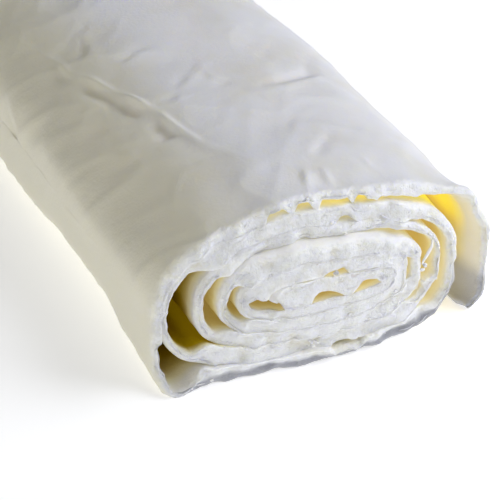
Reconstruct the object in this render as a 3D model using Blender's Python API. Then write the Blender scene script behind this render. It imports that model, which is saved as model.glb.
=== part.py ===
"""A sheet of fresh mozzarella, rolled up and lying on its side.

One long sheet, about 3 mm thick, makes five and a half turns. The roll has
sagged into an oval with a flat underside, its turns stand apart at the left
and right, and its core stands out of both ends. The loose outer end comes
down the right side and tucks under the roll in a thin lip.

The sheet's middle line is worked out in millimetres in the section plane,
x across and z up. Places along it are given in turns, from 0 at the middle
of the right side, counter-clockwise and inwards as seen from the near end.
Below 0 is the loose end. The roll's length runs along +Y.
"""

import math

import bmesh
import bpy

MM = 0.001

# The roll as a whole, in millimetres
ROLL_LENGTH = 200.0
CENTRE_HEIGHT = 20.0
TURNS = 5.5

# Reach of the sheet's middle line from the roll's centre, wrap by wrap inwards
RIGHT_REACH = (39.0, 31.8, 27.6, 22.0, 17.8, 13.9)
TOP_REACH = (21.5, 17.65, 14.15, 10.6, 6.6, 1.8)
LEFT_REACH = (39.7, 37.6, 29.8, 24.5, 20.4, 14.0)
BOTTOM_REACH = (18.35, 14.4, 10.8, 7.4, 4.0)

# Thickness of the sheet at the same places
RIGHT_THICKNESS = (2.4, 2.6, 1.6, 2.8, 3.4, 3.0)
TOP_THICKNESS = (2.6, 3.5, 2.8, 3.4, 3.5, 3.6)
LEFT_THICKNESS = (1.8, 1.8, 2.4, 2.6, 2.4, 2.2)
BOTTOM_THICKNESS = (3.3, 3.6, 2.9, 3.3, 2.7)

# How far the near end stands out of the mouth of the roll there
RIGHT_PROUD = (0.0, 2.0, 2.5, 3.5, 4.0, 5.5)
TOP_PROUD = (0.0, 2.3, 3.0, 6.0, 6.0, 6.5)
LEFT_PROUD = (0.0, 0.4, 1.6, 2.6, 3.6, 6.0)
BOTTOM_PROUD = (3.2, 4.2, 5.0, 5.5, 6.0)
FAR_PROUD_SHARE = 0.6

# Squareness of each wrap's curve: 2 is an ellipse, higher is boxier
UPPER_RIGHT_SQUARENESS = (2.0, 2.0, 2.1, 2.3, 2.4, 3.0)
UPPER_LEFT_SQUARENESS = (2.0, 2.05, 2.3, 2.7, 2.8, 2.6)
LOWER_LEFT_SQUARENESS = (4.5, 4.0, 3.6, 3.2, 3.2, 2.4)
LOWER_RIGHT_SQUARENESS = (3.3, 2.6, 2.8, 3.0, 3.4, 3.0)
CREASED_CORNER_SQUARENESS = 12.0
CREASED_CORNER_LENGTH = 35.0

# Near the mouth the outer wrap flares out at the upper right, over these turns and this length
FLARE = 1.9
FLARE_TURNS = 0.14
FLARE_LENGTH = 16.0
FLARED_SQUARENESS = 2.1

# The loose end tucks under the roll: its turns below 0, its lip on the table, and the two
# places that pull its bend, each how far beyond the roll's side and how high
LOOSE_TURNS = 0.18
LIP = (34.5, 1.1)
SIDE_PULL = (0.5, 9.0)
LIP_PULL = (1.5, 0.6)
LIP_THICKNESS = 1.6

# The middle of the roll is a little fatter than its ends
SWELL_WIDTH = 0.015
SWELL_HEIGHT = 0.030

# Depth of the flat that the roll has pressed into its own underside
FLAT_DEPTH = 0.3

# Steps of the mesh
STEPS_PER_TURN = 40
LOOSE_STEPS = 8
ROWS = 11
NEAR_ROW_CROWDING = 1.25

SHEET_COLOUR = (0.86, 0.85, 0.79, 1.0)
SHEET_ROUGHNESS = 0.42
SHEET_IOR = 1.45


def quarter_keys(right, top, left, bottom):
    """One list of values, a quarter turn apart, from the outer wrap inwards."""
    keys = []
    for wrap in range(len(right)):
        for side in (right, top, left, bottom):
            keys += side[wrap:wrap + 1]
    return keys


def half_keys(first, second):
    """One list of values, half a turn apart."""
    keys = []
    for wrap in range(len(first)):
        keys += first[wrap:wrap + 1] + second[wrap:wrap + 1]
    return keys


WIDTHS = half_keys(RIGHT_REACH, LEFT_REACH)
HEIGHTS = half_keys(TOP_REACH, BOTTOM_REACH)
THICKNESSES = quarter_keys(RIGHT_THICKNESS, TOP_THICKNESS, LEFT_THICKNESS, BOTTOM_THICKNESS)
PROUDNESSES = quarter_keys(RIGHT_PROUD, TOP_PROUD, LEFT_PROUD, BOTTOM_PROUD)


def slope_at(values, index):
    """Slope of the smooth line through the values, flat where they turn back."""
    if index == 0:
        return values[1] - values[0]
    if index == len(values) - 1:
        return values[-1] - values[-2]
    before = values[index] - values[index - 1]
    after = values[index + 1] - values[index]
    if before * after <= 0:
        return 0.0
    return 2 * before * after / (before + after)


def smooth_through(values, place):
    """Read the smooth line through evenly spaced values, without overshoot."""
    place = min(max(place, 0.0), len(values) - 1.0)
    index = min(int(place), len(values) - 2)
    u = place - index
    start, end = values[index], values[index + 1]
    start_slope = slope_at(values, index)
    end_slope = slope_at(values, index + 1)
    rise = end - start
    return (start + start_slope * u
            + (3 * rise - 2 * start_slope - end_slope) * u ** 2
            + (start_slope + end_slope - 2 * rise) * u ** 3)


def ease(u):
    """Smooth step from 0 to 1."""
    u = min(max(u, 0.0), 1.0)
    return u * u * (3 - 2 * u)


def flare_share(along):
    """Share of the flare that is left at a distance along the roll."""
    return 1 - ease(along / FLARE_LENGTH)


def squareness(turn, along):
    """Exponent of the wrap's curve in this quarter, at a distance along the roll."""
    wrap = int(turn)
    quarter = int(turn * 4) % 4
    if quarter == 0 and wrap == 0:
        flared = flare_share(along)
        return UPPER_RIGHT_SQUARENESS[0] * (1 - flared) + FLARED_SQUARENESS * flared
    if quarter == 0:
        return UPPER_RIGHT_SQUARENESS[wrap]
    if quarter == 1:
        return UPPER_LEFT_SQUARENESS[wrap]
    if quarter == 3:
        return LOWER_RIGHT_SQUARENESS[wrap]
    if wrap > 0:
        return LOWER_LEFT_SQUARENESS[wrap]
    fade = ease(along / CREASED_CORNER_LENGTH)
    return CREASED_CORNER_SQUARENESS * (1 - fade) + LOWER_LEFT_SQUARENESS[0] * fade


def wrap_point(turn, along):
    """Point of the middle line on the wound part of the sheet."""
    angle = 2 * math.pi * turn
    width = smooth_through(WIDTHS, turn * 2) + FLARE * flare_share(along) * (1 - ease(turn / FLARE_TURNS))
    height = smooth_through(HEIGHTS, turn * 2 - 0.5)
    power = 2 / squareness(turn, along)
    across = math.copysign(abs(math.cos(angle)) ** power, math.cos(angle))
    up = math.copysign(abs(math.sin(angle)) ** power, math.sin(angle))
    return width * across, CENTRE_HEIGHT + height * up


def loose_point(turn, along):
    """Point of the middle line on the loose end, a curve of four pulls from the roll's side to the lip."""
    u = -turn / LOOSE_TURNS
    weights = ((1 - u) ** 3, 3 * u * (1 - u) ** 2, 3 * u * u * (1 - u), u ** 3)
    side = wrap_point(0.0, along)
    pulls = (side, (side[0] + SIDE_PULL[0], SIDE_PULL[1]), (side[0] + LIP_PULL[0], LIP_PULL[1]), LIP)
    return tuple(sum(w * p[axis] for w, p in zip(weights, pulls)) for axis in (0, 1))


def middle_point(turn, along):
    return loose_point(turn, along) if turn < 0 else wrap_point(turn, along)


def thickness(turn):
    if turn < 0:
        return RIGHT_THICKNESS[0] + (LIP_THICKNESS - RIGHT_THICKNESS[0]) * -turn / LOOSE_TURNS
    return smooth_through(THICKNESSES, turn * 4)


def side_points(turn, along):
    """Points on the outer and the inner side of the sheet, in the section plane."""
    step = 0.002
    behind = middle_point(max(turn - step, -LOOSE_TURNS), along)
    ahead = middle_point(min(turn + step, TURNS), along)
    run = (ahead[0] - behind[0], ahead[1] - behind[1])
    length = math.hypot(*run)
    outward = (run[1] / length, -run[0] / length)
    middle = middle_point(turn, along)
    half = thickness(turn) / 2
    return [(middle[0] + side * half * outward[0], middle[1] + side * half * outward[1])
            for side in (1, -1)]


def swelled(point, share):
    """A section point where the roll is a little fatter, pressed flat underneath."""
    fat = math.sin(math.pi * share)
    across = point[0] * (1 + SWELL_WIDTH * fat)
    up = point[1] * (1 + SWELL_HEIGHT * fat)
    return across, max(up - FLAT_DEPTH, 0.0)


def row_points(turn, share):
    """The outer and the inner side of the sheet at a share of the roll's length."""
    proud = smooth_through(PROUDNESSES, turn * 4) if turn > 0 else 0.0
    along = ROLL_LENGTH * share + proud * (share * (1 + FAR_PROUD_SHARE) - 1)
    points = []
    for point in side_points(turn, along):
        across, up = swelled(point, share)
        points.append((across, along, up))
    return points


def stations():
    """Places along the sheet, in turns, from the lip to the innermost edge."""
    loose = [-LOOSE_TURNS * (1 - i / LOOSE_STEPS) for i in range(LOOSE_STEPS)]
    steps = round(TURNS * STEPS_PER_TURN)
    return loose + [TURNS * i / steps for i in range(steps + 1)]


def sheet_material():
    """Moist fresh cheese, cream white."""
    material = bpy.data.materials.new("fresh_mozzarella")
    material.use_nodes = True
    shader = material.node_tree.nodes["Principled BSDF"]
    shader.inputs["Base Color"].default_value = SHEET_COLOUR
    shader.inputs["Roughness"].default_value = SHEET_ROUGHNESS
    shader.inputs["Metallic"].default_value = 0.0
    shader.inputs["IOR"].default_value = SHEET_IOR
    material.diffuse_color = SHEET_COLOUR
    return material


def sheet_mesh():
    """Loft the rolled section along the roll, open at both ends between its turns."""
    mesh = bmesh.new()
    places = stations()
    rings = []
    for row in range(ROWS):
        share = (row / (ROWS - 1)) ** NEAR_ROW_CROWDING
        sides = [row_points(turn, share) for turn in places]
        outline = [outer for outer, inner in sides] + [inner for outer, inner in reversed(sides)]
        rings.append([mesh.verts.new([MM * value for value in point]) for point in outline])
    count = len(rings[0])
    for near, far in zip(rings, rings[1:]):
        for i in range(count):
            j = (i + 1) % count
            mesh.faces.new((near[i], far[i], far[j], near[j]))
    for ring, is_near in ((rings[0], True), (rings[-1], False)):
        for i in range(len(places) - 1):
            corners = [ring[i], ring[i + 1], ring[count - 2 - i], ring[count - 1 - i]]
            mesh.faces.new(corners if is_near else corners[::-1])
    bmesh.ops.triangulate(mesh, faces=mesh.faces[:])
    bmesh.ops.recalc_face_normals(mesh, faces=mesh.faces[:])
    return mesh


def centre_on_base(mesh):
    """Move the mesh so that the middle of its underside's box is the origin."""
    for axis in (0, 1):
        values = [vert.co[axis] for vert in mesh.verts]
        middle = (min(values) + max(values)) / 2
        for vert in mesh.verts:
            vert.co[axis] -= middle


def make_sheet():
    mesh = sheet_mesh()
    centre_on_base(mesh)
    data = bpy.data.meshes.new("mozzarella_sheet")
    mesh.to_mesh(data)
    mesh.free()
    data.shade_smooth()
    data.set_sharp_from_angle(angle=math.radians(40))
    data.materials.append(sheet_material())
    sheet = bpy.data.objects.new("mozzarella_sheet", data)
    bpy.context.scene.collection.objects.link(sheet)
    return sheet


def remove_start_objects():
    for found in list(bpy.data.objects):
        bpy.data.objects.remove(found)


remove_start_objects()
make_sheet()
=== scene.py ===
# %% [markdown]
# # A sheet of fresh mozzarella, rolled up
#
# The real thing is one sheet of soft white cheese, about 3 mm thick and 0.74 m long, rolled up and laid on
# its side. Its turns have sagged into a flat oval. The near end is torn rather than sliced, so its edges are
# ragged and fibrous, and light that reaches the gaps between the turns comes back yellow.
#
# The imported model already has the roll's form with few faces. This lesson makes the same roll again from
# the same named sizes, with a much finer mesh, and adds what the plain solid leaves out: torn edges, turns
# that cling together in places, creases, dents and the moist finish.

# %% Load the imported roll
import math

import bpy
import numpy as np
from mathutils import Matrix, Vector


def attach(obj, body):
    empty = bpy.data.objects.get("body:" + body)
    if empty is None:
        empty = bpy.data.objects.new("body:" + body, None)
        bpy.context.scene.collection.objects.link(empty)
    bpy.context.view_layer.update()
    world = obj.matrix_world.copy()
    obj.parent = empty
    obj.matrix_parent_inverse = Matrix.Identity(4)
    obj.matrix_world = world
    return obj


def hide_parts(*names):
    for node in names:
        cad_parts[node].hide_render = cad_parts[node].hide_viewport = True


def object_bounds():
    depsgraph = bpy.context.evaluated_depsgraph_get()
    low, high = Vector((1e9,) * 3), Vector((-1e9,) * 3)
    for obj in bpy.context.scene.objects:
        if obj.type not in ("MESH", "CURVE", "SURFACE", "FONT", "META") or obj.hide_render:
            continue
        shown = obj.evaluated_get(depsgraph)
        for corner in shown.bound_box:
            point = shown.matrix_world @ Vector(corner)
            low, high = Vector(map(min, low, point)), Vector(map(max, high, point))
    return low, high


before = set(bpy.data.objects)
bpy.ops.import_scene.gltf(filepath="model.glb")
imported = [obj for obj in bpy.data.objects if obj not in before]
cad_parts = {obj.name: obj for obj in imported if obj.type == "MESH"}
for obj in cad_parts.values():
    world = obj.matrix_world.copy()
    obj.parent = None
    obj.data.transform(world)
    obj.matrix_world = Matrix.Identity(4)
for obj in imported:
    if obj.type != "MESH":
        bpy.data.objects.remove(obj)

CAD_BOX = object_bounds()
print("CAD box in mm:", [[round(v * 1000, 1) for v in corner] for corner in CAD_BOX])

# %% [markdown]
# ## The roll's driving sizes
#
# All lengths are in millimetres, in the roll's own section plane: x across, z up, and the length along +Y.
# Places along the sheet are given in turns, from 0 at the middle of the right side, counter-clockwise and
# inwards as seen from the near end. Below 0 is the loose end. Each list goes from the outer wrap inwards.
# A wrap's reach is how far its middle line lies from the roll's centre. Its proud length is how far its near
# end stands out of the mouth, and its far end stands out by a share of that.

# %% Driving sizes
MM = 0.001
ROLL_LENGTH = 200.0
CENTRE_HEIGHT = 20.0
TURNS = 5.5
RIGHT_REACH = (39.0, 31.8, 27.6, 22.0, 17.8, 13.9)
TOP_REACH = (21.5, 17.65, 14.15, 10.6, 6.6, 1.8)
LEFT_REACH = (39.7, 37.6, 29.8, 24.5, 20.4, 14.0)
BOTTOM_REACH = (18.35, 14.4, 10.8, 7.4, 4.0)
RIGHT_THICKNESS = (2.4, 2.6, 1.6, 2.8, 3.4, 3.0)
TOP_THICKNESS = (2.6, 3.5, 2.8, 3.4, 3.5, 3.6)
LEFT_THICKNESS = (1.8, 1.8, 2.4, 2.6, 2.4, 2.2)
BOTTOM_THICKNESS = (3.3, 3.6, 2.9, 3.3, 2.7)
RIGHT_PROUD = (0.0, 2.0, 2.5, 3.5, 4.0, 5.5)
TOP_PROUD = (0.0, 2.3, 3.0, 6.0, 6.0, 6.5)
LEFT_PROUD = (0.0, 0.4, 1.6, 2.6, 3.6, 6.0)
BOTTOM_PROUD = (3.2, 4.2, 5.0, 5.5, 6.0)
FAR_PROUD_SHARE = 0.6
UPPER_RIGHT_SQUARENESS = (2.0, 2.0, 2.1, 2.3, 2.4, 3.0)
UPPER_LEFT_SQUARENESS = (2.0, 2.05, 2.3, 2.7, 2.8, 2.6)
LOWER_LEFT_SQUARENESS = (4.5, 4.0, 3.6, 3.2, 3.2, 2.4)
LOWER_RIGHT_SQUARENESS = (3.3, 2.6, 2.8, 3.0, 3.4, 3.0)
CREASED_CORNER_SQUARENESS = 12.0
CREASED_CORNER_LENGTH = 35.0
FLARE = 1.9
FLARE_TURNS = 0.14
FLARE_LENGTH = 16.0
FLARED_SQUARENESS = 2.1
LOOSE_TURNS = 0.18
LIP = (34.5, 1.1)
SIDE_PULL = (0.5, 9.0)
LIP_PULL = (1.5, 0.6)
LIP_THICKNESS = 1.6
SWELL_WIDTH = 0.015
SWELL_HEIGHT = 0.030
FLAT_DEPTH = 0.3

# %% [markdown]
# ## The sheet's middle line
#
# A rolled sheet is a spiral, but this one has sagged, so no round spiral fits it. Each wrap is a
# superellipse instead: a rounded box whose corners are tight or loose as its exponent says. Its half width,
# half height and thickness are read from smooth lines through the sizes above, so they shrink steadily
# inwards. Whole arrays of points are worked out at once, which keeps a mesh of this size quick.

# %% Read sizes along the sheet
def keys(*sides):
    """One array of values from the sides' lists, from the outer wrap inwards."""
    return np.array([side[wrap] for wrap in range(len(sides[0])) for side in sides if wrap < len(side)])


WIDTHS = keys(RIGHT_REACH, LEFT_REACH)
HEIGHTS = keys(TOP_REACH, BOTTOM_REACH)
THICKNESSES = keys(RIGHT_THICKNESS, TOP_THICKNESS, LEFT_THICKNESS, BOTTOM_THICKNESS)
PROUDNESSES = keys(RIGHT_PROUD, TOP_PROUD, LEFT_PROUD, BOTTOM_PROUD)


def ease(u):
    """Smooth step from 0 to 1."""
    u = np.clip(u, 0.0, 1.0)
    return u * u * (3 - 2 * u)


def window(u, start, rise, end, fall):
    """1 between two places and 0 outside them, with smooth borders of the given widths inside it."""
    return ease((u - start) / rise) * ease((end - u) / fall)


def bell(u, middle, width):
    """1 in the middle and less and less to both sides."""
    return np.exp(-((u - middle) / width) ** 2)


def smooth_through(values, place):
    """Read the smooth line through evenly spaced values, without overshoot."""
    steps = np.diff(values)
    before, after = steps[:-1], steps[1:]
    same_way = before * after > 0
    middle = np.where(same_way, 2 * before * after / np.where(same_way, before + after, 1.0), 0.0)
    slopes = np.concatenate(([steps[0]], middle, [steps[-1]]))
    place = np.clip(place, 0.0, len(values) - 1.0)
    index = np.minimum(place.astype(int), len(values) - 2)
    u = place - index
    rise = steps[index]
    start_slope, end_slope = slopes[index], slopes[index + 1]
    return (values[index] + start_slope * u
            + (3 * rise - 2 * start_slope - end_slope) * u ** 2
            + (start_slope + end_slope - 2 * rise) * u ** 3)


def flare_share(along):
    """Share of the flare that is left at a distance along the roll."""
    return 1 - ease(along / FLARE_LENGTH)


def squareness(turn, along):
    """Exponent of the wrap's curve in this quarter, at a distance along the roll."""
    wrap = np.clip(turn.astype(int), 0, len(UPPER_LEFT_SQUARENESS) - 1)
    quarter = np.floor(turn * 4).astype(int) % 4
    fade = ease(along / CREASED_CORNER_LENGTH)
    creased = CREASED_CORNER_SQUARENESS * (1 - fade) + LOWER_LEFT_SQUARENESS[0] * fade
    lower_left = np.where(wrap == 0, creased, np.take(LOWER_LEFT_SQUARENESS, wrap))
    flared = flare_share(along)
    outer = UPPER_RIGHT_SQUARENESS[0] * (1 - flared) + FLARED_SQUARENESS * flared
    upper_right = np.where(wrap == 0, outer, np.take(UPPER_RIGHT_SQUARENESS, wrap))
    corners = [upper_right, np.take(UPPER_LEFT_SQUARENESS, wrap), lower_left]
    return np.select([quarter == 0, quarter == 1, quarter == 2], corners,
                     np.take(LOWER_RIGHT_SQUARENESS, wrap))


# %% Place the middle line
def wrap_point(turn, along):
    """The middle line on the wound part of the sheet."""
    angle = 2 * np.pi * turn
    power = 2 / squareness(turn, along)
    across = np.sign(np.cos(angle)) * np.abs(np.cos(angle)) ** power
    up = np.sign(np.sin(angle)) * np.abs(np.sin(angle)) ** power
    flare = FLARE * flare_share(along) * (1 - ease(turn / FLARE_TURNS))
    return ((smooth_through(WIDTHS, turn * 2) + flare) * across,
            CENTRE_HEIGHT + smooth_through(HEIGHTS, turn * 2 - 0.5) * up)


def loose_point(turn, along):
    """The middle line on the loose end, a curve of four pulls from the roll's side to the lip."""
    u = -turn / LOOSE_TURNS
    weights = ((1 - u) ** 3, 3 * u * (1 - u) ** 2, 3 * u * u * (1 - u), u ** 3)
    side = RIGHT_REACH[0] + FLARE * flare_share(along)
    pulls = ((side, CENTRE_HEIGHT), (side + SIDE_PULL[0], SIDE_PULL[1]),
             (side + LIP_PULL[0], LIP_PULL[1]), LIP)
    return tuple(sum(w * pull[axis] for w, pull in zip(weights, pulls)) for axis in (0, 1))


def middle_point(turn, along):
    """The middle line at any place of the sheet."""
    wound = wrap_point(np.maximum(turn, 0.0), along)
    loose = loose_point(np.minimum(turn, 0.0), along)
    return tuple(np.where(turn < 0, loose[axis], wound[axis]) for axis in (0, 1))


def thickness(turn):
    """Thickness of the sheet, which thins out towards the lip."""
    lip = RIGHT_THICKNESS[0] + (LIP_THICKNESS - RIGHT_THICKNESS[0]) * -turn / LOOSE_TURNS
    return np.where(turn < 0, lip, smooth_through(THICKNESSES, turn * 4))


def run_direction(turn, along):
    """Unit direction in which the middle line runs inwards along the sheet."""
    step = 0.002
    behind = middle_point(np.maximum(turn - step, -LOOSE_TURNS), along)
    ahead = middle_point(np.minimum(turn + step, TURNS), along)
    run = ahead[0] - behind[0], ahead[1] - behind[1]
    length = np.hypot(*run)
    return run[0] / length, run[1] / length


# %% [markdown]
# ## Even steps along the sheet
#
# The superellipse races through its flat sides, so equal steps of a turn would bunch up. The line is
# sampled densely first, with a change of variable that undoes the racing, and then read at equal distances,
# which are shorter at the crown, where the small slots between the turns need fine faces.

# %% Measure the sheet and set out its stations
STATION_STEP = 0.90
FINE_STATION_STEP = 0.42
FINE_TURNS = (0.19, 0.39)
SAMPLES_PER_QUARTER = 240
STEP_SECTION = 10.0


def dense_turns():
    """Places that lie about evenly along each quarter turn's curve."""
    slots = (np.arange(SAMPLES_PER_QUARTER) + 0.5) / SAMPLES_PER_QUARTER * np.pi / 2
    turns = [np.linspace(-LOOSE_TURNS, 0, SAMPLES_PER_QUARTER, endpoint=False)]
    for quarter in range(round(TURNS * 4)):
        start = np.array([quarter / 4 + 1e-6])
        power = 2 / squareness(start, np.array([STEP_SECTION]))[0]
        way = slots if quarter % 2 == 0 else np.pi / 2 - slots
        angle = np.arctan(np.tan(way) ** (1 / power))
        angle = angle if quarter % 2 == 0 else np.pi / 2 - angle
        turns.append(quarter / 4 + np.sort(angle) / (2 * np.pi))
    return np.concatenate(turns + [np.array([TURNS])])


def lengths_along(turns, side):
    """Distance from the lip to each place, on the middle line or on one side of the sheet."""
    along = np.full_like(turns, STEP_SECTION)
    x, z = middle_point(turns, along)
    run_x, run_z = run_direction(turns, along)
    half = thickness(turns) / 2 * side
    x, z = x + half * run_z, z - half * run_x
    return np.concatenate(([0.0], np.cumsum(np.hypot(np.diff(x), np.diff(z)))))


DENSE_TURNS = dense_turns()
DENSE_LENGTHS = lengths_along(DENSE_TURNS, 0)
SHEET_LENGTH = DENSE_LENGTHS[-1]
under_crown = (DENSE_TURNS > FINE_TURNS[0]) & (DENSE_TURNS < FINE_TURNS[1])
step_here = np.where(under_crown, FINE_STATION_STEP, STATION_STEP)
steps_done = np.cumsum(np.diff(DENSE_LENGTHS, prepend=0.0) / step_here)
STATIONS = np.interp(np.linspace(0, steps_done[-1], round(steps_done[-1])), steps_done, DENSE_TURNS)
DENSE_SKIN = lengths_along(DENSE_TURNS, 1)
CROWN = np.interp(0.25, DENSE_TURNS, DENSE_SKIN)
print(f"sheet {SHEET_LENGTH:.0f} mm long, {len(STATIONS)} stations")


def around(turn):
    """Distance on the outer skin from the roll's crown, positive to the left."""
    return np.interp(turn, DENSE_TURNS, DENSE_SKIN) - CROWN


# %% [markdown]
# ## Unevenness that repeats on every run
#
# Everything soft or torn needs some unevenness. This value noise hangs a fixed number on each corner of a
# lattice and blends between them, so the same place always gets the same value.

# %% Value noise
def lattice_value(i, j, k, seed):
    """A fixed number from -1 to 1 for each corner of the lattice."""
    mixed = (i * 374761393 + j * 668265263 + k * 1442695041 + seed * 974634777) & 0xFFFFFFFF
    mixed = ((mixed ^ (mixed >> 13)) * 1274126177) & 0xFFFFFFFF
    return ((mixed ^ (mixed >> 16)) & 0xFFFF) / 32767.5 - 1.0


def noise(place, size, seed, octaves=1):
    """Smooth noise from -1 to 1 at (a, b, c), with lumps of the given size or sizes in millimetres."""
    total, weight = 0.0, 1.0
    sizes = np.broadcast_to(np.asarray(size, float), (3,))
    for octave in range(octaves):
        scaled = [np.asarray(value, float) / (width / 2 ** octave) for value, width in zip(place, sizes)]
        scaled = np.broadcast_arrays(*scaled)
        corner = [np.floor(value).astype(np.int64) for value in scaled]
        blend = [ease(value - low) for value, low in zip(scaled, corner)]
        field = 0.0
        for di in (0, 1):
            for dj in (0, 1):
                for dk in (0, 1):
                    share = ((blend[0] if di else 1 - blend[0]) * (blend[1] if dj else 1 - blend[1])
                             * (blend[2] if dk else 1 - blend[2]))
                    field = field + share * lattice_value(corner[0] + di, corner[1] + dj, corner[2] + dk,
                                                          seed + octave)
        total = total + weight * field
        weight /= 2
    return total / (2 - 2 * weight)


# %% [markdown]
# ## Creases and dents in the skin
#
# The outer turn is soft and has been handled: one long crease runs the length of the left shoulder, folds
# cross the crown, and shallow dents lie between them. Each crease is a short line on the skin, given as
# (distance around from the crown, distance along from the mouth). Along it the skin rises in a narrow ridge
# with a wider valley on one side, as a pinched fold does.

# %% Creases
LONG_CREASE = ((32.4, 108.0), (28.4, 89.0), (28.2, 82.0), (25.3, 74.5), (22.0, 62.0), (18.5, 48.0),
               (17.4, 39.5), (15.4, 30.0), (11.5, 20.5))
CREASES = (
    # points, ridge height and width, then the valley's depth, its distance (positive lies left) and its width
    (LONG_CREASE, 0.75, 0.9, 0.75, 2.6, 1.9),
    (((-2.7, 51.0), (-4.7, 44.6), (-12.3, 45.6), (-30.0, 54.0)), 0.45, 1.1, 0.45, 2.4, 1.8),
    (((5.1, 42.0), (-3.7, 44.5)), 0.35, 1.0, 0.25, 2.0, 1.6),
    (((11.3, 52.5), (2.5, 61.0), (-1.0, 66.0)), 0.45, 1.2, 0.35, 2.2, 1.8),
    (((2.5, 61.0), (1.0, 55.0), (-2.0, 51.5)), 0.35, 1.0, 0.25, 2.0, 1.6),
    (((-6.0, 81.5), (-27.5, 85.5)), 0.30, 0.9, 0.15, -2.0, 1.6),
    (((24.2, 91.5), (19.7, 95.5), (20.3, 89.0), (21.1, 83.5)), 0.30, 1.6, 0.35, 2.4, 2.0),
    (((17.3, 73.0), (7.3, 76.5)), 0.22, 1.2, 0.22, 2.0, 1.8),
    (((-32.3, 68.0), (-21.4, 48.5)), 0.16, 1.2, 0.30, 1.8, 1.6),
    (((-2.5, 13.5), (-10.9, 22.0)), 0.22, 1.2, 0.45, -1.6, 1.5),
    (((16.2, 49.5), (6.1, 51.5)), 0.18, 0.8, 0.22, 1.6, 1.0),
    (((0.5, 7.5), (3.8, 0.5)), 0.45, 0.9, 0.04, 1.6, 1.2),
    (((-3.0, 6.5), (-2.0, 0.5)), 0.45, 0.9, 0.04, 1.6, 1.2),
    (((-13.3, 11.5), (-14.7, 3.5)), 0.22, 0.9, 0.16, 1.6, 1.2),
    (((42.6, 96.0), (47.7, 85.5), (55.9, 78.5)), 0.30, 1.2, 0.30, 2.2, 1.8),
    (((30.2, 66.0), (32.0, 64.5), (40.3, 72.5)), 0.10, 1.2, 0.28, 1.8, 1.6),
    (((23.3, 37.0), (18.3, 38.5)), 0.10, 0.9, 0.22, 1.5, 1.2),
    (((20.6, 27.5), (17.5, 26.5)), 0.10, 0.9, 0.22, 1.5, 1.2),
)
# how a crease fades to both ends, and how faint it gets in patches along its way
CREASE_ENDS, CREASE_TAPER = (0.02, 0.98), 0.6
FAINTEST, PATCH_SIZE = 0.25, 7.0
print(len(CREASES), "creases")


def crease_relief(a, y, points, ridge, ridge_width, valley, valley_distance, valley_width):
    """Height of one crease at every place of the skin."""
    nearest = np.full(np.shape(a), 1e9)
    signed = np.zeros(np.shape(a))
    taper = np.zeros(np.shape(a))
    lengths = [math.dist(p, q) for p, q in zip(points, points[1:])]
    passed = 0.0
    for (start, end), length in zip(zip(points, points[1:]), lengths):
        da, dy = (end[0] - start[0]) / length, (end[1] - start[1]) / length
        t = np.clip((a - start[0]) * da + (y - start[1]) * dy, 0, length)
        off_a, off_y = a - start[0] - t * da, y - start[1] - t * dy
        distance = np.hypot(off_a, off_y)
        closer = distance < nearest
        side = np.sign(off_a * -dy + off_y * da) * (1 if dy < 0 else -1)
        nearest = np.where(closer, distance, nearest)
        signed = np.where(closer, distance * side, signed)
        share = (passed + t) / sum(lengths)
        taper = np.where(closer, np.sin(np.pi * np.clip(share, *CREASE_ENDS)) ** CREASE_TAPER, taper)
        passed += length
    strength = FAINTEST + (1 - FAINTEST) * ease(0.5 + 0.9 * noise((a, y, 0.0), PATCH_SIZE, 31))
    rise = ridge * bell(signed, 0.0, ridge_width)
    dip = valley * bell(signed, valley_distance, valley_width)
    ends = np.exp(-np.maximum(nearest - np.abs(signed), 0))
    return taper * strength * ends * (rise - dip)


# %% [markdown]
# Between the creases the skin is never flat: there are shallow billows a few centimetres wide, short
# stretch wrinkles that slant down the left flank, and sharp fine folds, which are noise folded over where it
# crosses zero. All are stretched in the direction in which the real ones run. The inner turns lie against
# the outer one, so they follow its relief, less and less inwards.

# %% Relief of the skin
DENTS = (
    # around, along, half size around, half size along, depth
    (0.3, 52.0, 2.6, 2.2, 0.55),
    (-9.0, 36.0, 8.0, 7.0, 0.55),
    (-4.5, 29.0, 5.0, 4.0, 0.35),
    (8.0, 68.0, 7.0, 6.0, 0.45),
    (-14.0, 66.0, 8.0, 9.0, 0.55),
    (-22.0, 76.0, 6.0, 8.0, 0.40),
    (28.0, 55.0, 6.0, 9.0, 0.35),
    (7.5, 12.5, 3.0, 3.0, 0.30),
    (34.0, 80.0, 6.0, 10.0, 0.45),
)
CREASE_GAIN = 1.7
SLANT = math.radians(35)
# the height of each unevenness, and the size of its lumps in its own two directions
BILLOW_HEIGHT, BILLOW_SIZE = 1.0, (17.0, 26.0, 1.0)
WRINKLE_HEIGHT, WRINKLE_SIZE = 0.14, (16.0, 3.4, 1.0)
FOLD_HEIGHT, FOLD_SIZE, FOLD_SHARPNESS = 0.44, (30.0, 12.0, 1.0), 5
FINE_FOLD_HEIGHT, FINE_FOLD_SIZE, FINE_FOLD_SHARPNESS = 0.22, (14.0, 6.0, 1.0), 4
# wrinkles are fainter on the crown than on the left flank
CROWN_SHARE, FLANK_SHARE = 0.5, 1.2
FLANK_FROM, FLANK_WIDTH = 8.0, 20.0
# the relief ends under the lower left corner, and each wrap inwards keeps this share of it
SKIN_FADE_TURN, SKIN_FADE_WIDTH = 0.64, 0.10
INNER_SHARE = 0.85
# the ear's height, its place and width in turns, and its length along the roll
EAR_HEIGHT, EAR_TURN, EAR_WIDTH, EAR_LENGTH = 2.2, 0.080, 0.030, 5.0


def ear(turn, along):
    """The folded corner that stands off the roll's right shoulder at the mouth."""
    return EAR_HEIGHT * bell(turn, EAR_TURN, EAR_WIDTH) * np.exp(-np.maximum(along, 0) / EAR_LENGTH)


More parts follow.
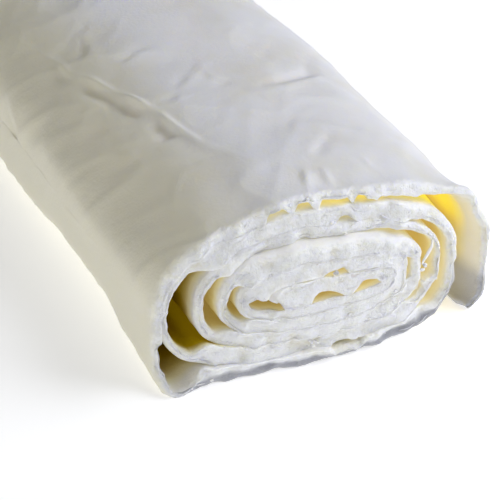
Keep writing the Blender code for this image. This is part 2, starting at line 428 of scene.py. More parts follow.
def skin_relief(turn, along):
    """Height of the skin over the plain roll, above or below it, in the same place on every wrap."""
    wrap = np.maximum(np.floor(turn), 0)
    place = turn - wrap
    a = around(place)
    billows = BILLOW_HEIGHT * noise((a, along, 0.0), BILLOW_SIZE, 5, 2)
    down = a * math.cos(SLANT) + along * math.sin(SLANT)
    over = along * math.cos(SLANT) - a * math.sin(SLANT)
    streaks = noise((down, over, 0.0), WRINKLE_SIZE, 11, 2)
    flank = ease((a - FLANK_FROM) / FLANK_WIDTH)
    wrinkles = WRINKLE_HEIGHT * streaks * (CROWN_SHARE + FLANK_SHARE * flank)
    broad = 1 - np.abs(noise((down, over, 0.0), FOLD_SIZE, 41))
    fine = 1 - np.abs(noise((over, down, 3.0), FINE_FOLD_SIZE, 43))
    folds = FOLD_HEIGHT * broad ** FOLD_SHARPNESS + FINE_FOLD_HEIGHT * fine ** FINE_FOLD_SHARPNESS
    height = billows + wrinkles + folds
    for points, *sizes in CREASES:
        height = height + CREASE_GAIN * crease_relief(a, along, points, *sizes)
    for dent_a, dent_y, half_a, half_y, depth in DENTS:
        height = height - depth * np.exp(-((a - dent_a) / half_a) ** 2 - ((along - dent_y) / half_y) ** 2)
    fade_out = 1 - ease((place - SKIN_FADE_TURN) / SKIN_FADE_WIDTH)
    inner_fade = np.where(wrap > 0, ease(place / SKIN_FADE_WIDTH) * INNER_SHARE ** wrap, 1.0)
    return height * fade_out * inner_fade


# %% [markdown]
# ## Torn ends
#
# The sheet tears like soft bread: its edge wanders by a millimetre or so, the two skins part from the torn
# face in small serrations, and the face itself is lumpy. So the tear is a sum of noises of three sizes,
# which moves the edge along the roll, and a fourth one moves its border in and out. Where turns touch they
# share the same noise, as they tore together.

# %% Raggedness of the ends
# how far each noise moves the edge, and the size of its lumps
EDGE_WANDER, WANDER_SIZE = 0.60, 7.0
EDGE_FRAY, FRAY_SIZE = 0.85, 3.0
EDGE_LUMPS, LUMP_SIZE = 0.45, 1.3
TORN_REACH = 2.4
NEAR_SEED, FAR_SEED = 51, 71


def edge_offset(x, z, seed):
    """How far the torn end stands back from or out of its mean place, the same for turns that touch."""
    return (EDGE_WANDER * noise((x, z, 0.0), WANDER_SIZE, seed, 2)
            + EDGE_FRAY * noise((x, z, 0.0), FRAY_SIZE, seed + 3, 1)
            + EDGE_LUMPS * noise((x, z, 0.0), LUMP_SIZE, seed + 5, 2))


def rounded(near, radius):
    """How far a rounded edge falls back from the sheet's side, at a distance from the torn end."""
    u = np.clip(1 - near / radius, 0.0, 1.0)
    return radius * (1 - np.sqrt(1 - u * u))


# %% [markdown]
# The mouth has sagged into a shape of its own. The outer turn's edge bulges at the crown and at the lower
# left corner, its bottom spreads over the table like a tongue, the upper turns have slumped right of the
# crown, and the lower left corner is pressed out. Each of these is a soft bell with a height, a place and a
# width.

# %% Shape of the mouth
CORNER_PROUD, CORNER_TURN, CORNER_WIDTH = 2.4, 0.63, 0.06
CROWN_PROUD, CROWN_TURN, CROWN_WIDTH = 2.3, 0.27, 0.12
TONGUE_PROUD, TONGUE_PLACE, TONGUE_WIDTH = 2.3, 1.0, 11.0
TONGUE_TURNS = (0.66, 0.05, 0.95, 0.08)
SLUMP, SLUMP_PLACE, SLUMP_WIDTH = 2.4, 9.0, 15.0
SLUMP_FROM, SLUMP_TO, SLUMP_LENGTH = 18.0, 29.0, 11.0
PINCH, PINCH_TURN, PINCH_WIDTH, PINCH_LENGTH = 2.2, 0.625, 0.050, 14.0


def proudness(turn, rough=1.0):
    """How far the near end stands out of the mouth."""
    corner = CORNER_PROUD * bell(turn, CORNER_TURN, CORNER_WIDTH)
    crown = CROWN_PROUD * bell(turn, CROWN_TURN, CROWN_WIDTH)
    return np.where(turn > 0, smooth_through(PROUDNESSES, turn * 4) + rough * (corner + crown), 0.0)


def tongue(turn, x):
    """How far the bottom edge of the outer turn spreads out of the mouth on the table."""
    return TONGUE_PROUD * window(turn, *TONGUE_TURNS) * bell(x, TONGUE_PLACE, TONGUE_WIDTH)


def slump(x, z, near):
    """How far the upper turns have sunk at the mouth, right of the crown."""
    high = ease((z - SLUMP_FROM) / (SLUMP_TO - SLUMP_FROM))
    return SLUMP * high * np.exp(-((x - SLUMP_PLACE) / SLUMP_WIDTH) ** 2 - (near / SLUMP_LENGTH) ** 2)


def pinch(turn, near):
    """How far the lower left corner is pressed out near the mouth."""
    return PINCH * np.exp(-((turn - PINCH_TURN) / PINCH_WIDTH) ** 2 - (near / PINCH_LENGTH) ** 2)


# %% [markdown]
# ## Turns pressed together
#
# Soft cheese swells and sticks where it is pressed. At the mouth the turns touch nearly everywhere, so the
# gap between them shows only as a fine line, apart from some openings: cavities where the sheet bends, and a
# row of small slots with bridges of cheese between them under the crown. The plain roll's gaps are measured
# first, and near the mouth each turn is then thickened inwards until it meets the next one. Where two
# pressed turns stand out of the mouth alike, the torn face of one runs over into that of the next.

# %% Measure the gaps
def section_sides(distance):
    """The outer and the inner side of the plain sheet, at a distance along the roll."""
    along = np.full_like(DENSE_TURNS, distance)
    x, z = middle_point(DENSE_TURNS, along)
    run_x, run_z = run_direction(DENSE_TURNS, along)
    half = thickness(DENSE_TURNS) / 2
    return (np.stack([x + half * run_z, z - half * run_x], axis=1),
            np.stack([x - half * run_z, z + half * run_x], axis=1))


# the innermost turn's top faces its own bottom, not a turn further in
CORE_TOP = (5.01, 5.49)
CORE_BOTTOM = (4.51, 4.99)


def gaps_inwards():
    """Distance from each dense place's inner side to the surface it faces, 0 where there is none."""
    outer, inner = section_sides(0.0)
    gaps = np.zeros(len(DENSE_TURNS))
    for i, turn in enumerate(DENSE_TURNS):
        if turn > 0 and turn + 1 < TURNS:
            first, last = np.searchsorted(DENSE_TURNS, (turn + 0.6, turn + 1.4))
            gaps[i] = np.hypot(*(outer[first:last] - inner[i]).T).min()
        elif CORE_TOP[0] < turn < CORE_TOP[1]:
            first, last = np.searchsorted(DENSE_TURNS, CORE_BOTTOM)
            gaps[i] = np.hypot(*(inner[first:last] - inner[i]).T).min()
    return gaps


DENSE_GAPS = gaps_inwards()
print(f"gaps between the turns: {DENSE_GAPS[DENSE_GAPS > 0].min():.2f} to {DENSE_GAPS.max():.2f} mm")

# %% Openings between the pressed turns
OPENINGS = (
    # from turn, to turn, border in turns, share of the gap that stays open, extra opening in millimetres
    (-1.0, 0.160, 0.040, 1.0, 0.0),
    (0.140, 0.206, 0.012, 0.6, 0.2),
    (0.204, 0.221, 0.006, 0.5, 0.1),
    (0.2135, 0.2245, 0.005, 1.0, 0.4),
    (0.2300, 0.257, 0.007, 1.0, 0.5),
    (0.266, 0.281, 0.007, 1.0, 0.7),
    (0.290, 0.309, 0.009, 1.0, 0.6),
    (0.337, 0.346, 0.006, 0.5, 0.0),
    (0.501, 0.600, 0.0012, 1.0, 0.0),
    (0.560, 0.690, 0.050, 1.0, 0.0),
    (0.7502, 0.766, 0.0006, 1.0, 0.4),
    (0.860, 1.140, 0.080, 1.0, 0.0),
    (1.222, 1.240, 0.012, 1.0, 0.3),
    (1.395, 1.618, 0.040, 1.0, 0.0),
    (1.855, 1.920, 0.030, 1.0, 0.0),
    (1.940, 2.210, 0.060, 1.0, 0.2),
    (2.190, 2.300, 0.050, 0.5, 0.0),
    (2.290, 2.410, 0.030, 0.4, 0.1),
    (2.400, 2.605, 0.060, 1.0, 0.0),
    (2.950, 3.035, 0.030, 0.9, 0.0),
    (3.420, 3.610, 0.050, 1.0, 0.0),
    (4.150, 4.225, 0.030, 0.35, 0.0),
    (4.230, 4.256, 0.014, 1.0, 0.2),
    (4.260, 4.380, 0.040, 0.25, 0.0),
    (4.430, 4.500, 0.030, 0.6, 0.0),
    (5.118, 5.208, 0.045, 0.9, 0.0),
    (5.246, 5.292, 0.024, 0.7, 0.0),
    (5.430, 5.520, 0.040, 0.6, 0.0),
)
# the most that a turn thickens, how far along the roll it does, and how far pressed turns overlap
MOST_SWELLING, SWELLING_REACH, OVERLAP = 3.2, 4.5, 0.35
print(len(OPENINGS), "openings")


def opening(turn):
    """How far each place stands open, from 0 to 1, and its extra opening in millimetres."""
    share, extra = np.zeros(np.shape(turn)), np.zeros(np.shape(turn))
    for start, end, border, width, more in OPENINGS:
        window = ease((turn - start) / border + 0.5) * ease((end - turn) / border + 0.5)
        share = np.maximum(share, width * window)
        extra = np.maximum(extra, more * window)
    return share, extra


def swelling(turn, near):
    """How much the sheet thickens inwards at a distance from the mouth."""
    share, extra = opening(turn)
    gap = np.interp(turn, DENSE_TURNS, DENSE_GAPS)
    pressed = np.minimum(gap + OVERLAP, MOST_SWELLING) * (1 - share) - extra
    pressed = np.where(gap > 0, pressed, 0.0)
    return pressed * bell(near, 0.0, SWELLING_REACH)


MOST_FUSED_STEP, FUSED_STEP_FADE = 1.6, 0.8


def fused_share(turn):
    """How far a turn's face runs over into the next one's: 1 where they are pressed and stand out alike."""
    step = proudness(turn + 1) - proudness(turn)
    alike = 1 - ease((step - MOST_FUSED_STEP) / FUSED_STEP_FADE)
    return (1 - opening(turn)[0]) * alike * (turn > 0) * (turn + 1 < TURNS)


# %% [markdown]
# ## Points of the fine roll
#
# One function gives the place of any point of the sheet: how far round it is, on which side of the sheet,
# from 1 on the outer side to -1 on the inner, and how far along the roll. The plain roll comes first, and
# the unevenness is added to it in millimetres.

# %% Place the points of the sheet
# thicker and thinner patches of the sheet, and how far the loose edge strays
PATCH_CHANGE, PATCH_SIZES = 0.07, (9.0, 12.0, 1.0)
LIP_WANDER, LIP_WANDER_SIZE = 0.10, 9.0
# how far the edges of a torn end are rounded: where turns are pressed together, at an opening, at a step
PRESSED_ROUNDING, OPEN_ROUNDING, MOST_ROUNDING = 0.04, 0.90, 1.30
# the outer turn's edge is rounded by a share of half its thickness, and by more on the left shoulder
SKIN_UNTIL = 0.80
SKIN_ROUNDING, SHOULDER_ROUNDING, SHOULDER = 1.1, 0.9, (0.36, 0.06, 0.71, 0.04)
NEXT_ROUNDING, NEXT_SHOULDER = 0.6, (1.36, 0.06, 1.60, 0.04)
# serrations where the skins part from the torn face
SERRATION, SERRATION_SIZE, SERRATION_REACH = 0.28, 1.7, 1.1
SLANT_POWER = 1.5


def edge_rounding(turn, half):
    """How far the inner and the outer edge of a torn end are rounded."""
    open_inside, open_outside = opening(turn)[0], opening(turn - 1)[0]
    inner = PRESSED_ROUNDING + (OPEN_ROUNDING - PRESSED_ROUNDING) * open_inside
    step = proudness(turn) - proudness(turn - 1)
    fused_outside = np.where(turn > 1, fused_share(turn - 1), 0.0)
    outer = np.clip(step * (1 - fused_outside), PRESSED_ROUNDING, MOST_ROUNDING)
    outer = np.maximum(outer, OPEN_ROUNDING * open_outside)
    skin = half * (SKIN_ROUNDING + SHOULDER_ROUNDING * window(turn, *SHOULDER))
    return inner, np.where(turn < SKIN_UNTIL, skin, outer) + NEXT_ROUNDING * window(turn, *NEXT_SHOULDER)


def serrations(turn, side, length, near, far):
    """How far the border of a torn face moves in or out where it stands free."""
    free = np.where(side > 0, np.maximum(opening(turn - 1)[0], turn < SKIN_UNTIL), opening(turn)[0])
    return SERRATION * free * (
        noise((length, side * 3.0, 0.0), SERRATION_SIZE, 17, 2) * np.exp(-near / SERRATION_REACH)
        + noise((length, side * 3.0, 9.0), SERRATION_SIZE, 18, 2) * np.exp(-far / SERRATION_REACH))


def tear(turn, side, x, z, near, far):
    """How far the torn ends stand back from or out of their mean place along the roll."""
    inwards = np.clip((1 - side) / 2, 0.0, 1.0) ** SLANT_POWER
    slanted = fused_share(turn) * (proudness(turn + 1) - proudness(turn)) * inwards
    return ((edge_offset(x, z, NEAR_SEED) - slanted - tongue(turn, x)) * np.exp(-near / TORN_REACH)
            + (edge_offset(x, z, FAR_SEED) + FAR_PROUD_SHARE * slanted) * np.exp(-far / TORN_REACH))


def sheet_points(turn, side, run, rough=1.0):
    """Points of the roll for arrays of turn, side and distance along, before it is centred."""
    length = np.interp(turn, DENSE_TURNS, DENSE_LENGTHS)
    share = run / ROLL_LENGTH
    near, far = run, ROLL_LENGTH - run
    along = run + proudness(turn, rough) * (share * (1 + FAR_PROUD_SHARE) - 1)
    stray = LIP_WANDER * (1 + noise((along, 0.0, 0.0), LIP_WANDER_SIZE, 21, 3)) * rough
    loose = np.where(turn < 0, turn * (1 - stray), turn)
    x, z = middle_point(loose, along)
    run_x, run_z = run_direction(loose, along)
    half = thickness(turn) / 2 * (1 + PATCH_CHANGE * rough * noise((length, along, 0.0), PATCH_SIZES, 13, 2))
    inner_radius, outer_radius = edge_rounding(turn, half)
    outer_side = half - rough * (rounded(near, outer_radius) + rounded(far, outer_radius))
    inner_side = -half + rough * (rounded(near, inner_radius) + rounded(far, inner_radius)
                                  - swelling(turn, near) - swelling(turn, far))
    out = inner_side + (outer_side - inner_side) * (1 + side) / 2
    out = out + rough * serrations(turn, side, length, near, far)
    out = out + rough * (skin_relief(turn, along) + ear(turn, along) + pinch(turn, near))
    x, z = x + out * run_z, z - out * run_x
    z = z - rough * slump(x, z, near)
    along = along + rough * tear(turn, side, x, z, near, far)
    fat = np.sin(np.pi * share)
    return np.stack([x * (1 + SWELL_WIDTH * fat), along,
                     np.maximum(z * (1 + SWELL_HEIGHT * fat) - FLAT_DEPTH, 0.0)], axis=-1)


# %% Find where the roll stands in the frame
plain_turns = np.repeat(STATIONS, 2)
plain_sides = np.tile((1.0, -1.0), len(STATIONS))
plain = np.concatenate([sheet_points(plain_turns, plain_sides, np.full(len(plain_turns), run), rough=0.0)
                        for run in (0.0, ROLL_LENGTH / 2, ROLL_LENGTH)])
SHIFT = -(plain.min(axis=0) + plain.max(axis=0)) / 2
SHIFT[2] = 0.0
print("shift to the frame in mm:", SHIFT.round(2), "plain roll:", np.ptp(plain, axis=0).round(1))
BOX_LOW, BOX_HIGH = np.array(CAD_BOX) / MM
ROOM = 1.2


def stay_inside(points):
    """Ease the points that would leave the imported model's box back into it."""
    over = np.maximum(points - (BOX_HIGH - ROOM), 0.0)
    under = np.maximum((BOX_LOW + ROOM) - points, 0.0)
    under[:, 2] = 0.0
    return points - over + ROOM * (1 - np.exp(-over / ROOM)) + under - ROOM * (1 - np.exp(-under / ROOM))


# %% [markdown]
# ## The mesh
#
# The roll's surface is one closed tube: up the outer side of the sheet from the lip to its innermost edge,
# and back along the inner side. Only the skin needs fine rows all the way along. Inside the roll they are
# needed near the two mouths alone, so the columns there keep few rows, and where a fine column meets a
# coarse one the faces take all the fine column's points. The torn ends are closed with strips that have
# points across the sheet's thickness, for the lumps.

# %% Set out rows and columns
MOUTH_ROWS = (0.0, 0.06, 0.2, 0.42, 0.72, 1.1, 1.6, 2.3, 3.2, 4.3, 5.5, 6.7, 7.9, 9.0)
SKIN_STEP = 1.2
DEEP_ROWS = (12.6, 17.4, 24.6, 36.6, 60.6)
FINE_UNTIL = 1.04
LOOSE_FINE_UNTIL = 0.03


def row_places():
    """Distances along the roll of the fine rows, the same from both ends."""
    half = list(MOUTH_ROWS)
    while half[-1] + SKIN_STEP < ROLL_LENGTH / 2:
        half.append(half[-1] + SKIN_STEP)
    return np.array(half + [ROLL_LENGTH - value for value in reversed(half)])


ROWS = row_places()
COARSE = sorted({int(np.argmin(np.abs(ROWS - place))) for value in MOUTH_ROWS + DEEP_ROWS
                 for place in (value, ROLL_LENGTH - value)})
EDGE_SIDES = (0.55, 0.0, -0.55)

loose_count, skin_count = np.searchsorted(STATIONS, (LOOSE_FINE_UNTIL, FINE_UNTIL))
station_count = len(STATIONS)
COLUMNS = (
    [(k, 1.0, k < skin_count) for k in range(station_count)]
    + [(station_count - 1, side, False) for side in EDGE_SIDES]
    + [(k, -1.0, k < loose_count) for k in reversed(range(station_count))]
    + [(0, -side, True) for side in EDGE_SIDES]
)
print(len(ROWS), "fine rows,", len(COARSE), "coarse rows,", len(COLUMNS), "columns")

# %% Number the points and make the faces of the tube
vert_turn, vert_side, vert_run, vert_tip = [], [], [], []
column_verts = []
for station, side, fine in COLUMNS:
    rows = range(len(ROWS)) if fine else COARSE
    first = len(vert_turn)
    column_verts.append({row: first + i for i, row in enumerate(rows)})
    tip = 0.0 if abs(side) == 1.0 else 1 - side ** 2
    for row in rows:
        vert_turn.append(STATIONS[station])
        vert_side.append(side)
        vert_run.append(ROWS[row])
        vert_tip.append(tip if station else -tip)

faces = []
for here, there in zip(column_verts, column_verts[1:] + column_verts[:1]):
    shared = sorted(set(here) & set(there))
    for low, high in zip(shared, shared[1:]):
        up_here = [here[row] for row in range(low, high + 1) if row in here]
        down_there = [there[row] for row in range(high, low - 1, -1) if row in there]
        faces.append(up_here + down_there)
print(len(vert_turn), "points and", len(faces), "faces in the tube")

# %% Close the torn ends
FACE_SIDES = (0.62, 0.22, -0.22, -0.62)
outer_column = {station: column for column, (station, side, _) in enumerate(COLUMNS) if side == 1.0}
inner_column = {station: column for column, (station, side, _) in enumerate(COLUMNS) if side == -1.0}
face_vert_start = len(vert_turn)
for row in (0, len(ROWS) - 1):
    strips = []
    for station in range(station_count):
        first = len(vert_turn)
        for side in FACE_SIDES:
            vert_turn.append(STATIONS[station])
            vert_side.append(side)
            vert_run.append(ROWS[row])
            vert_tip.append(0.0)
        strips.append([column_verts[outer_column[station]][row], *range(first, first + len(FACE_SIDES)),
                       column_verts[inner_column[station]][row]])
    for near, far in zip(strips, strips[1:]):
        for i in range(len(near) - 1):
            corners = [near[i], far[i], far[i + 1], near[i + 1]]
            faces.append(corners if row == 0 else corners[::-1])
    core = strips[-1]
    lip = strips[0]
    core_edge = [column_verts[station_count + i][row] for i in range(len(EDGE_SIDES))]
    lip_edge = [column_verts[len(COLUMNS) - 1 - i][row] for i in range(len(EDGE_SIDES))]
    core_cap = core + core_edge[::-1]
    lip_cap = lip + lip_edge[::-1]
    faces.append(core_cap[::-1] if row == 0 else core_cap)
    faces.append(lip_cap if row == 0 else lip_cap[::-1])
print(len(faces), "faces with the ends closed")

# %% Work out where the points are
# how round the sheet's two long edges are, how far a torn face bulges, and how flat a fused one stays
EDGE_ROUND, FACE_BULGE, FUSED_FLATNESS = 0.45, 0.35, 0.8
TURN, SIDE = np.array(vert_turn), np.array(vert_side)
RUN, TIP = np.array(vert_run), np.array(vert_tip)
points = sheet_points(TURN, SIDE, RUN)
run_x, run_z = run_direction(TURN, points[:, 1])
edge_round = EDGE_ROUND * thickness(TURN) / 2 * TIP
points[:, 0] += edge_round * run_x
points[:, 2] += edge_round * run_z
on_face = np.arange(len(TURN)) >= face_vert_start
outward = np.where(RUN < ROLL_LENGTH / 2, -1.0, 1.0)
bulge = FACE_BULGE * (1 - SIDE ** 2) * (1 - FUSED_FLATNESS * fused_share(TURN))
points[:, 1] += np.where(on_face, outward * bulge, 0.0)
points = stay_inside(points + SHIFT)

# %% Make the mesh
mesh = bpy.data.meshes.new("rolled_sheet")
mesh.from_pydata(points * MM, [], faces)
mesh.update()
sheet = bpy.data.objects.new("rolled_sheet", mesh)
bpy.context.scene.collection.objects.link(sheet)
mesh.shade_smooth()
triangles = sum(len(face) - 2 for face in faces)
print("rolled sheet:", len(mesh.vertices), "points,", triangles, "triangles")

# %% [markdown]
# Where two turns are pressed together, smooth shading would bend the light over their shared border and
# draw a dark line there. The real border is all but gone, so these edges are marked sharp and stay unseen.

# %% Keep pressed borders sharp
PRESSED_BELOW = 0.3
pressed_border = np.zeros(len(TURN), bool)
for (station, side, _), column in zip(COLUMNS, column_verts):
    if abs(side) == 1.0:
        neighbour = STATIONS[station] - (side > 0)
        if 0 < neighbour and opening(np.array([neighbour]))[0][0] < PRESSED_BELOW:
            pressed_border[[column[0], column[len(ROWS) - 1]]] = True
edge_ends = np.empty(len(mesh.edges) * 2, np.int32)
mesh.edges.foreach_get("vertices", edge_ends)
sharp = mesh.attributes.new("sharp_edge", "BOOLEAN", "EDGE")
is_sharp = pressed_border[edge_ends.reshape(-1, 2)].all(axis=1)
sharp.data.foreach_set("value", is_sharp)
print(int(is_sharp.sum()), "sharp edges")

# %% [markdown]
# ## What the finish needs to know
#
# Much of this cheese's colour is painted shade and light, which depend on where a place lies, and no texture
# can tell that. So the mesh carries masks, numbers from 0 to 1 at each point. The first says how deep a point
# lies in a gap, behind the edge that shades it, and so how far the painted gap shade has come in. Light
# reaches further in at the right wall and into the lower left corner, and less far between the lower left
# turns.

# %% Depth in the gaps
RIGHT_LIGHT, RIGHT_WALL_END, RIGHT_WALL_FADE = 6.0, 0.19, 0.05
CORNER_LIGHT, CORNER_FLOOR = 3.5, (0.60, 0.75)
# how fast the painted shade in a gap darkens with depth, in millimetres, at three places along the sheet
FADE_TURNS, GAP_FADES = (1.0, 2.5, 4.0), (3.5, 3.0, 1.6)
LOW_LEFT, LOW_LEFT_SHORTER = (1.50, 0.02, 1.72, 0.05), 0.7
mask_names = []


def add_mask(name, values):
    """Store one number for each point of the mesh."""
    attribute = mesh.attributes.new(name, "FLOAT", "POINT")
    attribute.data.foreach_set("value", np.asarray(values, np.float32))
    mask_names.append(name)
    print(name, "from", round(float(values.min()), 2), "to", round(float(values.max()), 2))


inside, outside = SIDE < 0, SIDE > 0
depth = np.minimum(RUN, ROLL_LENGTH - RUN)
is_skin = (SIDE > 0.9) & (TURN < SKIN_UNTIL)
proud_step = np.maximum(proudness(TURN) - proudness(TURN - 1), 0.0)
light_reach = (RIGHT_LIGHT * ease((RIGHT_WALL_END - TURN) / RIGHT_WALL_FADE)
               + CORNER_LIGHT * ((TURN > CORNER_FLOOR[0]) & (TURN < CORNER_FLOOR[1])))
hidden = np.maximum(depth - outside * proud_step - inside * light_reach, 0.0)
gap_fade = np.interp(TURN, FADE_TURNS, GAP_FADES) * (1 - LOW_LEFT_SHORTER * inside * window(TURN, *LOW_LEFT))
# how deep a point lies in a gap, which drives the painted gap shade
in_gap = np.where(is_skin, 0.0, 1 - np.exp(-hidden / gap_fade))
add_mask("gap_shade_depth", in_gap)

# %% [markdown]
# Light passes through a few millimetres of this cheese and comes out yellow, most of all at the right, where
# only the outer turn lies between the gap and the window. The outer gaps on the left stay dark. Tracing so
# many bounces would take too long, so a mask gives those places a faint light of their own. Pressed borders
# get a little of it too, as no shade can lie where there is no gap.

# %% Light through the cheese
# the two sides of the outermost gap that let light through, and the left parts of the outer gaps
BRIGHT_INSIDE, BRIGHT_OUTSIDE = (-0.03, 0.05, 0.30, 0.05), (1.02, 0.05, 1.26, 0.05)
DARK_INSIDE, DARK_OUTSIDE = (0.45, 0.05, 1.72, 0.05), (1.45, 0.05, 2.72, 0.05)
LEFT_HALF = (0.38, 0.06, 0.80, 0.06)
LEFT_GLOW, RIGHT_GLOW, PRESSED_GLOW = 0.35, 0.45, 0.32
WOUND_FROM, WOUND_FADE = -0.02, 0.04

left_half = window(TURN % 1.0, *LEFT_HALF)
dark = (inside * window(TURN, *DARK_INSIDE) + outside * window(TURN, *DARK_OUTSIDE)) * left_half
bright = inside * window(TURN, *BRIGHT_INSIDE) + outside * window(TURN, *BRIGHT_OUTSIDE)
add_mask("deep_shade", dark)
add_mask("light_through", bright * in_gap)
wound = ease((TURN - WOUND_FROM) / WOUND_FADE)
gap_glow = in_gap * np.maximum(bright, wound * (1 - dark) * (LEFT_GLOW + RIGHT_GLOW * (1 - left_half)))
gap_turn = np.where(outside, TURN - 1, TURN)
pressed_side = (np.abs(SIDE) == 1) & (gap_turn > 0) & (gap_turn + 1 < TURNS)
pressed_glow = PRESSED_GLOW * pressed_side * (1 - opening(gap_turn)[0])
add_mask("glow", np.maximum(gap_glow, pressed_glow))

# %% [markdown]
# The other masks mark the painted warm shade on the left flank, the painted shade on the loose end near the
# mouth, the bottom edge that lies in its own shade, the torn faces, and the painted shade in their hollows.

# %% Skin, painted shade on the loose end, and torn faces
# the painted warm shade on the left flank comes in from this distance round the skin, over this distance
FLANK_STARTS, FLANK_REACH = 6.0, 26.0
# the loose end gets painted blue-grey shade near the mouth, up to a wandering line, and below this place in
# turns
LIP_SHADE_UNTIL, LIP_SHADE_WANDER, LIP_SHADE_WANDER_SIZE, LIP_SHADE_FADE = 18.0, 6.0, 9.0, 12.0
LIP_SHADE_TURN, LIP_SHADE_TURN_FADE = -0.045, 0.05
# the shade under the bottom edge: its turns, its reach along the roll, and on which side of the sheet it lies
BOTTOM_EDGE, SHADE_REACH = (0.60, 0.04, 1.02, 0.10), 3.0
SHADE_SIDE, SHADE_SIDE_FADE = -0.3, 0.9
# how far the torn look and the painted shade in the hollows reach along the roll, and how deep a dip in the
# torn face has to be
TORN_FADE, HOLLOW_REACH = 0.8, 1.5
HOLLOW_SHARE, HOLLOW_FROM, HOLLOW_FADE = 0.8, 0.25, 1.5

# painted warm shade on the left flank, the side of the skin that lies in shade
add_mask("flank_shade_tint", is_skin * ease((around(TURN) - FLANK_STARTS) / FLANK_REACH))
length = np.interp(TURN, DENSE_TURNS, DENSE_LENGTHS)
# painted shade on the loose end near the mouth, up to a wandering line
lip_shade_until = LIP_SHADE_UNTIL + LIP_SHADE_WANDER * noise((length, RUN, 0.0), LIP_SHADE_WANDER_SIZE, 61, 2)
add_mask("lip_shade", ease((LIP_SHADE_TURN - TURN) / LIP_SHADE_TURN_FADE) * ease((lip_shade_until - RUN) / LIP_SHADE_FADE))
add_mask("shaded_edge", window(TURN, *BOTTOM_EDGE) * np.exp(-depth / SHADE_REACH)
         * ease((SIDE - SHADE_SIDE) / SHADE_SIDE_FADE))
add_mask("torn", np.where(on_face, 1.0, np.exp(-depth / TORN_FADE)))
# painted shade where the torn face stands back into the roll
torn_in = edge_offset(points[:, 0] - SHIFT[0], points[:, 2], NEAR_SEED) * np.exp(-depth / HOLLOW_REACH)
add_mask("hollow_shade", HOLLOW_SHARE * ease((torn_in * (RUN < ROLL_LENGTH / 2) - HOLLOW_FROM) / HOLLOW_FADE))

# %% [markdown]
# ## Fresh mozzarella
#
# Fresh mozzarella is stretched curd: milky white, moist, and full of tiny whey pockets that scatter light
# just under the surface. So it is a white body with light that spreads inside it, a satin gloss, and a
# fibrous relief where it is torn. In the gaps light bounces many times between cream walls and comes back
# golden, and that golden shade is painted into the colour by the masks.

# %% Colours and nodes
def linear(code):
    """An sRGB hex colour as the linear values that a shader takes."""
    values = [int(code[i:i + 2], 16) / 255 for i in (1, 3, 5)]
    return tuple(v / 12.92 if v <= 0.04045 else ((v + 0.055) / 1.055) ** 2.4 for v in values) + (1.0,)


def node(tree, kind, inputs=None, **settings):
    """Add a node with its settings; an input is a value or the output that feeds it."""
    made = tree.nodes.new(kind)
    for name, value in settings.items():
        setattr(made, name, value)
    for name, value in (inputs or {}).items():
        if isinstance(value, bpy.types.NodeSocket):
            tree.links.new(value, made.inputs[name])
        else:
            made.inputs[name].default_value = value
    return made


# %% The body of the cheese
# Moist curd: a soft satin gloss, and light that spreads about a millimetre under the surface, blue the least.
cheese = bpy.data.materials.new("fresh_mozzarella")
cheese.use_nodes = True
tree = cheese.node_tree
shader = tree.nodes["Principled BSDF"]
shader.inputs["IOR"].default_value = 1.45
shader.inputs["Metallic"].default_value = 0.0
shader.inputs["Roughness"].default_value = 0.45
shader.inputs["Subsurface Weight"].default_value = 0.6
shader.inputs["Subsurface Radius"].default_value = (1.0, 0.95, 0.60)
shader.inputs["Subsurface Scale"].default_value = 1.2 * MM
object_place = node(tree, "ShaderNodeTexCoord").outputs["Object"]
mask = {name: node(tree, "ShaderNodeAttribute", attribute_name=name).outputs["Fac"] for name in mask_names}
print("masks that the shader reads:", ", ".join(mask))

# %% [markdown]
# The colour is laid on in thin layers over white skin, as a painter would glaze it: faint blotches and a
# painted warm shade on the left flank, the specked torn faces and painted shade in their hollows, then
# painted cream, gold and honey shade down into the gaps, and at last the painted lemon light, the shaded
# bottom edge and painted blue-grey shade on the loose end. Each layer has a driver, the two
# values between which it comes in, and a colour: a code, or the name of layers that were laid before.

# %% Colour of each place
BLOTCH_SIZE = 16.0
SPECK_SIZE = 1.7
GLOW_STRENGTH = 0.36
blotches, specks = (
    node(tree, "ShaderNodeTexNoise", {"Vector": object_place, "Scale": 1 / (size * MM), "Detail": 3.0})
    .outputs["Fac"] for size in (BLOTCH_SIZE, SPECK_SIZE))
LAYERS = {
    "torn face": ("#EDEEEF", (
        (specks, 0.50, 0.75, "#E2E2DE"),
    )),
    # painted shade at the bottom of a gap: honey, and olive where the gap is darkest
    "painted gap shade": ("#D8C67C", (
        (mask["deep_shade"], 0.0, 1.0, "#C4A80A"),
    )),
    "cheese": ("#F0F0F2", (
        (blotches, 0.42, 0.70, "#EBE9E2"),  # creamier blotches
        (mask["flank_shade_tint"], 0.0, 1.0, "#EBE7D3"),  # painted warm shade on the left flank
        (mask["torn"], 0.0, 1.0, "torn face"),
        (mask["hollow_shade"], 0.0, 1.0, "#EAE4C8"),  # painted shade in the hollows of the torn face
        (mask["gap_shade_depth"], 0.0, 0.40, "#F3EFD8"),  # painted cream shade at the mouth of a gap
        (mask["gap_shade_depth"], 0.35, 0.75, "#EEE4B0"),  # painted gold shade further in
        (mask["gap_shade_depth"], 0.60, 0.92, "painted gap shade"),  # painted honey or olive shade at the bottom
        (mask["light_through"], 0.0, 1.0, "#FFF04A"),  # lemon where light comes through
        (mask["shaded_edge"], 0.0, 1.0, "#A4A5AC"),  # grey bottom edge
        (mask["lip_shade"], 0.0, 1.0, "#B8BAC4"),  # painted blue-grey shade on the loose end
    )),
}
laid = {}
